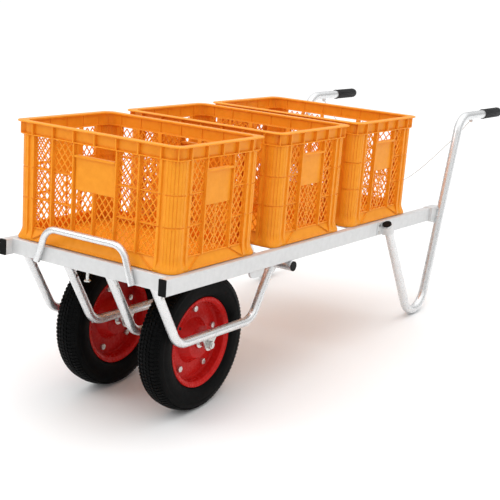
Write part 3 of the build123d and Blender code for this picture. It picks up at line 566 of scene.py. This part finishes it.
def postStations(c, here, after):
    # a corner post, from the windows of one wall round to those of the next
    stations = []
    for (middle, along, away, half, kind), end in ((here, 1), (after, -1)):
        flat = half - c["corner"] - c[kind]["post"]
        length = flat + c["corner"] * math.pi / 4
        heart = middle + along * end * (half - c["corner"]) - away * c["corner"]
        inset = c["rimCorner"] - c["footOut"]
        footHeart = middle + along * end * (half - inset) - away * inset
        line = []
        for share, groove in c["postProfile"]:
            angle = max(0, share * length - flat) / c["corner"]
            turn = away * math.cos(angle) + along * end * math.sin(angle)
            place, foot = heart + turn * c["corner"], footHeart + turn * c["rimCorner"]
            if angle == 0:
                place = middle + along * end * (c[kind]["post"] + share * length)
                foot = place + away * c["footOut"]
            line.append((place, turn, foot, "post", "corner", 0, groove))
        stations += line if end > 0 else line[-2::-1]
    return stations


def crateStations(c):
    # points round the wall: place, outward, foot's edge, panel or post, wall kind, distance along, groove
    stations = []
    sides = crateSides(c)
    for i, (middle, along, away, half, kind) in enumerate(sides):
        w = c[kind]
        breaks = sorted([x for pair in w["columns"] for x in pair] + [*w["middle"], w["hold"], w["post"]])
        for t in [-t for t in reversed(breaks)] + breaks:
            place = middle + along * t
            stations.append((place, away, place + away * c["footOut"], "panel", kind, t, 0))
        stations += postStations(c, sides[i], sides[(i + 1) % 4])
    return stations


def wallPoint(c, station, z, upper):
    # the outer face at a height: posts flare at the foot, panels slope out under the lattice
    place, away, foot, part = station[:4]
    base, ground = c["footBead"]
    if part == "panel" or upper:
        low = c["latticeBottom"]
        face = c["bandPlane"] if upper else c["latticePlane"]
        share = max(0, (low - max(z, ground)) / (low - ground))
        edge = foot - away * c["skirtInset"]
    else:
        low = c["flareTop"]
        half, depth = c["grooveSize"]
        inGroove = any(abs(z - g) < half for g in c["grooves"])
        face = c["postPlane"] - max(station[6], depth if inGroove else 0)
        share = max(0, (low - max(z, ground)) / (low - ground)) ** c["flareCurve"]
        edge = foot
    if z < base:
        share = c["baseShare"]
    start = place + away * face
    return start + (edge - start) * share + Vector((0, 0, z))


def isOpen(c, kind, t, z):
    # true inside a lattice window or a hand-hold
    if kind == "corner":
        return False
    w, t = c[kind], abs(t)
    if t < w["hold"] and w["panel"][1] < z < c["rows"][-1][1]:
        return True
    if w["middle"][0] < t < w["middle"][1] and c["latticeBottom"] < z < w["panel"][0]:
        return True
    inColumn = any(a < t < b for a, b in w["columns"])
    return inColumn and any(a < z < b for a, b in c["rows"])


def crateShell(c):
    stations = crateStations(c)
    base, ground = c["footBead"]
    heights = {0.0, base - c["baseStep"], base, ground, *c["flareLevels"], c["flareTop"], c["bandBottom"]}
    half, slope = c["grooveSize"][0], c["grooveSlope"]
    heights |= {g + s * k for g in c["grooves"] for s in (-1, 1) for k in (half - slope, half + slope)}
    heights |= {z for row in c["rows"] for z in row}
    heights |= {z for kind in ("long", "short") for z in c[kind]["panel"]}
    levels = [(z, False) for z in sorted(heights)] + [(c["bandBottom"], True), (c["top"], True)]
    shape = bmesh.new()
    grid = []
    for station in stations:
        grid.append([shape.verts.new(wallPoint(c, station, z, upper)) for z, upper in levels])
    count = len(stations)
    for i in range(count):
        a, b = stations[i], stations[(i + 1) % count]
        near, far = grid[i], grid[(i + 1) % count]
        flat = a[3] == b[3] == "panel"
        for j in range(len(levels) - 1):
            height = (levels[j][0] + levels[j + 1][0]) / 2
            if flat and not levels[j + 1][1] and isOpen(c, a[4], (a[5] + b[5]) / 2, height):
                continue
            shape.faces.new((near[j], far[j], far[j + 1], near[j + 1]))
    bmesh.ops.remove_doubles(shape, verts=shape.verts, dist=c["mergeGap"])
    bmesh.ops.dissolve_degenerate(shape, edges=shape.edges, dist=c["mergeGap"])
    mesh = bpy.data.meshes.new("crateShell")
    shape.to_mesh(mesh)
    shape.free()
    thicken = {"thickness": c["wall"], "offset": -1, "use_even_offset": False}
    return finishMesh(mesh, [("SOLIDIFY", thicken)])


def sweepRings(name, inner, outer, profile, closed=True):
    # carries an outline of (share of the way out, further out, height) along two lines side by side
    shape = bmesh.new()
    rings = []
    for (p, n), (q, _) in zip(inner, outer):
        ring = [p.lerp(q, share) + n * out + Vector((0, 0, z)) for share, out, z in profile]
        rings.append([shape.verts.new(place) for place in ring])
    for i, ring in enumerate(rings if closed else rings[:-1]):
        after = rings[(i + 1) % len(rings)]
        for j in range(len(profile)):
            k = (j + 1) % len(profile)
            shape.faces.new((ring[j], after[j], after[k], ring[k]))
    if not closed:
        shape.faces.new(rings[0])
        shape.faces.new(rings[-1])
    bmesh.ops.recalc_face_normals(shape, faces=shape.faces)
    mesh = bpy.data.meshes.new(name)
    shape.to_mesh(mesh)
    shape.free()
    return mesh


def crateLips(c):
    # the rim's two lips and the bead round the foot
    wall, rim = crateRing(c, 0, c["corner"]), crateRing(c, c["rimOut"], c["rimCorner"])
    low, foot = (crateRing(c, c[key], c["rimCorner"]) for key in ("lowLipOut", "footOut"))
    topLip = [(share, out, c["top"] + z) for share, out, z in c["topLip"]]
    lowLip = [(share, out, c["bandBottom"] + z) for share, out, z in c["lowLip"]]
    base, ground = c["footBead"]
    root, bend = c["beadRoot"], c["beadRound"]
    bead = [(root, 0, base), (1, -bend, base), (1, 0, base + bend),
            (1, 0, ground - bend), (1, -bend, ground), (root, 0, ground)]
    return [sweepRings("topLip", wall, rim, topLip), sweepRings("lowLip", wall, low, lowLip),
            sweepRings("footBead", wall, foot, bead)]


def crateFloor(c):
    ring = [p for p, n in crateRing(c, -c["floorGap"], c["corner"])]
    shape = bmesh.new()
    low, high = ([shape.verts.new(p + Vector((0, 0, z))) for p in ring] for z in c["floorLevels"])
    shape.faces.new(list(reversed(low)))
    shape.faces.new(high)
    for i in range(len(ring)):
        k = (i + 1) % len(ring)
        shape.faces.new((low[i], low[k], high[k], high[i]))
    bmesh.ops.triangulate(shape, faces=[f for f in shape.faces if len(f.verts) > 4])
    mesh = bpy.data.meshes.new("crateFloor")
    shape.to_mesh(mesh)
    shape.free()
    return mesh


def crateSkirtLines(c):
    # slanting grooves on the skirt, either side of each corner post, each between two ridges
    lines = []
    shortTop, top, shortFoot, bottom = c["skirtLine"]
    ridge = c["skirtRidge"]
    root, crest = ridge["halfRoot"], ridge["halfCrest"]
    outline = [(0, -root, 0), (0, root, 0), (1, crest, 0), (1, -crest, 0)]
    for middle, along, away, half, kind in crateSides(c):
        for sign in (-1, 1):
            for shift in (-ridge["shift"], ridge["shift"]):
                sunk, lifted = [], []
                for short, z in ((shortTop, top), (shortFoot, bottom)):
                    place = middle + along * (sign * (c[kind]["post"] - short) + shift)
                    face = wallPoint(c, (place, away, place + away * c["footOut"], "panel"), z, False)
                    sunk.append((face - away * ridge["sunk"], along))
                    lifted.append((face + away * ridge["rise"], along))
                lines.append(sweepRings("skirtLine", sunk, lifted, outline, closed=False))
    return lines


def latticeTree(c):
    # crossed bars in every cell, so that neighbours join into a net of diamonds
    tree, entry, leave = openTree("crateLattice", [
        ("Cell Width", "Float"), ("Cell Height", "Float"), ("Bar Width", "Float"), ("Bar Depth", "Float"),
        ("Material", "Material")])
    wide, high = entry.outputs["Cell Width"], entry.outputs["Cell Height"]
    squares = [addMath(tree, "MULTIPLY", side, side) for side in (wide, high)]
    length = addMath(tree, "SQRT", addMath(tree, "ADD", *squares))
    lean = addMath(tree, "ARCTAN2", high, wide)
    both = tree.nodes.new("GeometryNodeJoinGeometry")
    for sign, share in ((1, 1.0), (-1, c["secondBar"])):
        bar, tip = tree.nodes.new("GeometryNodeMeshCube"), tree.nodes.new("GeometryNodeTransform")
        depth = addMath(tree, "MULTIPLY", entry.outputs["Bar Depth"], share)
        tree.links.new(addVector(tree, length, depth, entry.outputs["Bar Width"]), bar.inputs["Size"])
        tree.links.new(addVector(tree, 0, addMath(tree, "MULTIPLY", lean, sign), 0), tip.inputs["Rotation"])
        tree.links.new(bar.outputs["Mesh"], tip.inputs["Geometry"])
        tree.links.new(tip.outputs["Geometry"], both.inputs["Geometry"])
    spread = tree.nodes.new("GeometryNodeInstanceOnPoints")
    turn = tree.nodes.new("GeometryNodeInputNamedAttribute")
    turn.inputs["Name"].default_value = "turn"
    tree.links.new(entry.outputs["Geometry"], spread.inputs["Points"])
    tree.links.new(both.outputs["Geometry"], spread.inputs["Instance"])
    tree.links.new(addVector(tree, 0, 0, turn.outputs["Attribute"]), spread.inputs["Rotation"])
    closeTree(tree, spread.outputs["Instances"], entry, leave)
    return tree


def ribTree():
    # a block on every point, as large as the point says and turned with its wall
    tree, entry, leave = openTree("crateRibs", [("Thicken", "Float"), ("Material", "Material")])
    block = tree.nodes.new("GeometryNodeMeshCube")
    spread = tree.nodes.new("GeometryNodeInstanceOnPoints")
    size, turn = (tree.nodes.new("GeometryNodeInputNamedAttribute") for _ in range(2))
    grow = tree.nodes.new("ShaderNodeVectorMath")
    size.data_type = "FLOAT_VECTOR"
    size.inputs["Name"].default_value = "size"
    turn.inputs["Name"].default_value = "turn"
    grow.operation = "SCALE"
    tree.links.new(size.outputs["Attribute"], grow.inputs[0])
    tree.links.new(entry.outputs["Thicken"], grow.inputs["Scale"])
    tree.links.new(entry.outputs["Geometry"], spread.inputs["Points"])
    tree.links.new(block.outputs["Mesh"], spread.inputs["Instance"])
    tree.links.new(addVector(tree, 0, 0, turn.outputs["Attribute"]), spread.inputs["Rotation"])
    tree.links.new(grow.outputs["Vector"], spread.inputs["Scale"])
    closeTree(tree, spread.outputs["Instances"], entry, leave)
    return tree


def crateCells(c):
    # cell middles for the lattice on each wall; what the frame covers stays hidden in it
    points, turns = [], []
    plane = c["latticePlane"] - c["wall"] / 2
    start = c["rows"][0][0] - c["cellDrop"]
    for middle, along, away, half, kind in crateSides(c):
        w = c[kind]
        underPanel = int((w["panel"][0] - start) / c["cellHeight"]) + 1
        windows = [(*pair, c["cellRows"]) for pair in w["columns"]] + [(*w["middle"], underPanel)]
        for low, high, rows in windows:
            across = math.ceil((high - low - c["cellSlack"]) / c["cellWidth"])
            for sign in (-1, 1):
                for step in range(across):
                    t = sign * ((low + high) / 2 + (step - (across - 1) / 2) * c["cellWidth"])
                    for k in range(rows):
                        height = Vector((0, 0, start + (k + 0.5) * c["cellHeight"]))
                        points.append(middle + along * t + away * plane + height)
                        turns.append(math.atan2(along.y, along.x))
    return pointsMesh(points, turn=turns)


def crateRibPoints(c):
    points, sizes, turns = [], [], []

    def addBlock(heart, along, out, low, high, inside, outside, thick):
        points.append(heart + out * (inside + outside) / 2 + Vector((0, 0, (low + high) / 2)))
        sizes.append((thick, outside - inside, high - low))
        turns.append(math.atan2(along.y, along.x))

    thin, foot, band, top = c["ribThickness"], c["latticeBottom"], c["bandBottom"], c["top"]
    lattice, post = c["latticePlane"], c["postPlane"]
    back = lattice - c["ribRoot"]
    web, ledge, label, lip, bar = (c[key] for key in ("rimWeb", "ledge", "label", "holdEdge", "levelRib"))
    for middle, along, away, half, kind in crateSides(c):
        w = c[kind]
        panelBottom, panelTop = w["panel"]
        for t in w["ribs"]:
            high = panelBottom if t == 0 else band
            addBlock(middle + along * t, along, away, foot - c["ribDrop"], high, back, post, thin)
        for t in w["webs"]:
            low, high = band + web["lift"], top + web["rise"]
            addBlock(middle + along * t, along, away, low, high, back, c["webOut"], thin * web["thin"])
        # ledge under the windows, label panel and the rolled edge of the hand-hold over it
        low, high = foot - ledge["below"], foot + ledge["above"]
        addBlock(middle, along, away, low, high, back, lattice + ledge["out"], 2 * w["post"])
        wide = 2 * w["middle"][1]
        inside, outside = back - label["behind"], lattice + label["out"]
        addBlock(middle, along, away, panelBottom, panelTop, inside, outside, wide + label["wider"])
        low, high = panelTop - lip["below"], panelTop + lip["above"]
        addBlock(middle, along, away, low, high, back - lip["behind"], post, wide + lip["wider"])
        # thin level ribs between the rows
        for level in c["grooves"]:
            low, high = level - bar["half"], level + bar["half"]
            for a, b in w["columns"]:
                for sign in (-1, 1):
                    heart = middle + along * sign * (a + b) / 2
                    outside, length = lattice + bar["out"], b - a + bar["longer"]
                    addBlock(heart, along, away, low, high, back, outside, length)
    # each corner's web in the rim
    wall, rim = crateRing(c, 0, c["corner"]), crateRing(c, c["rimOut"], c["rimCorner"])
    perSide = len(wall) // 4
    for i in range(4):
        k = i * perSide + 1 + c["cornerSteps"] // 2
        (place, away), (edge, _) = wall[k], rim[k]
        along = Vector((-away.y, away.x, 0))
        reach = (edge - place).length - c["cornerWeb"]["short"]
        addBlock(place, along, away, band, top, back, reach, c["cornerWeb"]["thick"])
    return pointsMesh(points, size=sizes, turn=turns)


def makeCrates(c):
    orange = materials["orange_plastic"]
    lattice = growMesh(latticeTree(c), {
        "Cell Width": c["cellWidth"], "Cell Height": c["cellHeight"], "Bar Width": c["barWidth"],
        "Bar Depth": c["barDepth"], "Material": orange}, crateCells(c))
    ribs = growMesh(ribTree(), {"Thicken": c["ribThicken"], "Material": orange}, crateRibPoints(c))
    bevel = {"width": c["ribBevel"], "segments": 1, "limit_method": "ANGLE"}
    ribs = finishMesh(ribs, [("BEVEL", bevel)])
    meshes = [crateShell(c), lattice, ribs, crateFloor(c)] + crateLips(c) + crateSkirtLines(c)
    for mesh in meshes:  # the end walls draw in towards the floor
        for vertex in mesh.vertices:
            lean = c["draft"] * max(0, 1 - vertex.co.z / c["top"])
            vertex.co.x *= 1 - lean / c["halfLong"]
    for body, setback in c["bodies"].items():
        place = bedMatrix @ Matrix.Translation((0, setback + c["width"] / 2, c["restGap"]))
        obj = joinMeshes(body.replace("_c", "C"), meshes, place, "orange_plastic")
        dress(obj, body, "orange_plastic", body)


makeCrates(crate)


# tyres
def ringTree():
    # blocks set round the X axis at one radius
    tree, entry, leave = openTree("ringOfBlocks", [
        ("Count", "Int"), ("Radius", "Float"), ("Row Offset", "Float"), ("Block Size", "Vector"),
        ("Lean", "Float"), ("Roll", "Float"), ("Phase", "Float"), ("Material", "Material")])
    block, seat = tree.nodes.new("GeometryNodeMeshCube"), tree.nodes.new("GeometryNodeTransform")
    spread = tree.nodes.new("GeometryNodeInstanceOnPoints")
    spots, index = tree.nodes.new("GeometryNodePoints"), tree.nodes.new("GeometryNodeInputIndex")
    place = addVector(tree, entry.outputs["Row Offset"], 0, entry.outputs["Radius"])
    tree.links.new(entry.outputs["Block Size"], block.inputs["Size"])
    tree.links.new(block.outputs["Mesh"], seat.inputs["Geometry"])
    tree.links.new(place, seat.inputs["Translation"])
    tree.links.new(addVector(tree, 0, entry.outputs["Roll"], entry.outputs["Lean"]), seat.inputs["Rotation"])
    tree.links.new(entry.outputs["Count"], spots.inputs["Count"])
    number = addMath(tree, "ADD", index.outputs["Index"], entry.outputs["Phase"])
    angle = addMath(tree, "MULTIPLY", addMath(tree, "DIVIDE", number, entry.outputs["Count"]), 2 * math.pi)
    tree.links.new(spots.outputs[0], spread.inputs["Points"])
    tree.links.new(seat.outputs["Geometry"], spread.inputs["Instance"])
    tree.links.new(addVector(tree, angle, 0, 0), spread.inputs["Rotation"])
    closeTree(tree, spread.outputs["Instances"], entry, leave)
    return tree


def turnedMesh(profile, steps, mergeGap=0.00001):
    # a closed outline of (along X, radius) turned right round the X axis
    shape = bmesh.new()
    rings = []
    for k in range(steps):
        angle = 2 * math.pi * k / steps
        rings.append([shape.verts.new((x, -r * math.sin(angle), r * math.cos(angle))) for x, r in profile])
    for i, ring in enumerate(rings):
        after = rings[(i + 1) % steps]
        for j in range(len(profile)):
            k = (j + 1) % len(profile)
            shape.faces.new((ring[j], ring[k], after[k], after[j]))
    bmesh.ops.remove_doubles(shape, verts=shape.verts, dist=mergeGap)
    bmesh.ops.recalc_face_normals(shape, faces=shape.faces)
    mesh = bpy.data.meshes.new("turned")
    shape.to_mesh(mesh)
    shape.free()
    return mesh


tyre = {
    "wheels": {"left": -0.143, "right": 0.143},
    "axleY": -0.650884,
    "axleZ": 0.192,
    "steps": 128,
    "halfProfile": [  # from the bead, which sits behind the rim's edge, to the middle of the tread
        (0.0, 0.1120), (0.0240, 0.1120), (0.0283, 0.1200), (0.0283, 0.1226), (0.0300, 0.1250),
        (0.0330, 0.1266), (0.0346, 0.1290), (0.0350, 0.1310), (0.0362, 0.1316), (0.0368, 0.1330),
        (0.0386, 0.1400), (0.0397, 0.1470), (0.0400, 0.1535), (0.0394, 0.1620), (0.0384, 0.1668),
        (0.0387, 0.1676), (0.0385, 0.1690), (0.0376, 0.1715), (0.0364, 0.1765), (0.0342, 0.1802),
        (0.0285, 0.1832), (0.0165, 0.1871), (0.0, 0.1893)],
    "rowCount": 104,
    "treadRows": [  # offset along the axle, top radius, width, length, lean and roll in degrees, phase
        (0.0050, 0.1915, 0.0084, 0.0088, 18, 5, 0.0),
        (0.0158, 0.1897, 0.0094, 0.0082, -14, 15, 0.25),
        (0.0276, 0.1866, 0.0104, 0.0076, 8, 26, 0.0),
    ],
    "sideShift": 0.5,  # how far the left rows run ahead, in blocks
    "blockHeight": 0.006,
    "blockBevel": 0.0005,
}


def makeTyres(t, tree):
    half = t["halfProfile"]
    carcass = turnedMesh(half + [(-x, r) for x, r in reversed(half) if x > 0], t["steps"])
    meshes = [carcass]
    for offset, radius, width, length, lean, roll, phase in t["treadRows"]:
        for side in (-1, 1):
            blocks = growMesh(tree, {
                "Count": t["rowCount"], "Radius": radius - t["blockHeight"] / 2, "Row Offset": side * offset,
                "Block Size": (width, length, t["blockHeight"]), "Lean": math.radians(lean),
                "Roll": math.radians(side * roll), "Phase": phase + (t["sideShift"] if side < 0 else 0),
                "Material": materials["tyre"]})
            bevel = {"width": t["blockBevel"], "segments": 1, "limit_method": "ANGLE"}
            meshes.append(finishMesh(blocks, [("BEVEL", bevel)]))
    for side, x in t["wheels"].items():
        place = Matrix.Translation((x, t["axleY"], t["axleZ"]))
        obj = joinMeshes(side + "Tyre", meshes, place, "tyre")
        dress(obj, side + "_wheel", "tyre", side + "_tyre")


blockRing = ringTree()
makeTyres(tyre, blockRing)


# grips
grip = {
    "sides": {"left": -0.295, "right": 0.295},
    "height": 0.296,
    "front": 1.696,  # where the collar starts, back along the bed
    "steps": 48,
    "outline": [(0.0, 0.0142), (0.0, 0.0166), (0.0006, 0.0170), (0.0052, 0.0170), (0.0060, 0.0164),
                (0.0066, 0.0150), (0.1280, 0.0150), (0.1320, 0.0140), (0.1345, 0.0118), (0.1350, 0.0090),
                (0.1350, 0.0), (0.02, 0.0), (0.02, 0.0142)],
    "ribs": 16,
    "ribSize": (0.118, 0.0036, 0.0030),
    "ribRadius": 0.0150,
    "ribStart": 0.0065,
    "ribBevel": 0.0009,
    "ribPhase": 0.5,
}


def makeGrips(g, tree):
    body = turnedMesh(g["outline"], g["steps"])
    ribs = growMesh(tree, {
        "Count": g["ribs"], "Radius": g["ribRadius"], "Row Offset": g["ribStart"] + g["ribSize"][0] / 2,
        "Block Size": g["ribSize"], "Lean": 0.0, "Roll": 0.0, "Phase": g["ribPhase"],
        "Material": materials["black_rubber"]})
    bevel = {"width": g["ribBevel"], "segments": 2, "limit_method": "ANGLE"}
    ribs = finishMesh(ribs, [("BEVEL", bevel)])
    back = Matrix.Rotation(math.pi / 2, 4, "Z")  # X turned to run back along the bed
    for side, x in g["sides"].items():
        place = bedMatrix @ Matrix.Translation((x, g["front"], g["height"])) @ back
        obj = joinMeshes(side + "Grip", [body, ribs], place, "black_rubber")
        dress(obj, "chassis", "black_rubber", side + "_grip")


makeGrips(grip, blockRing)
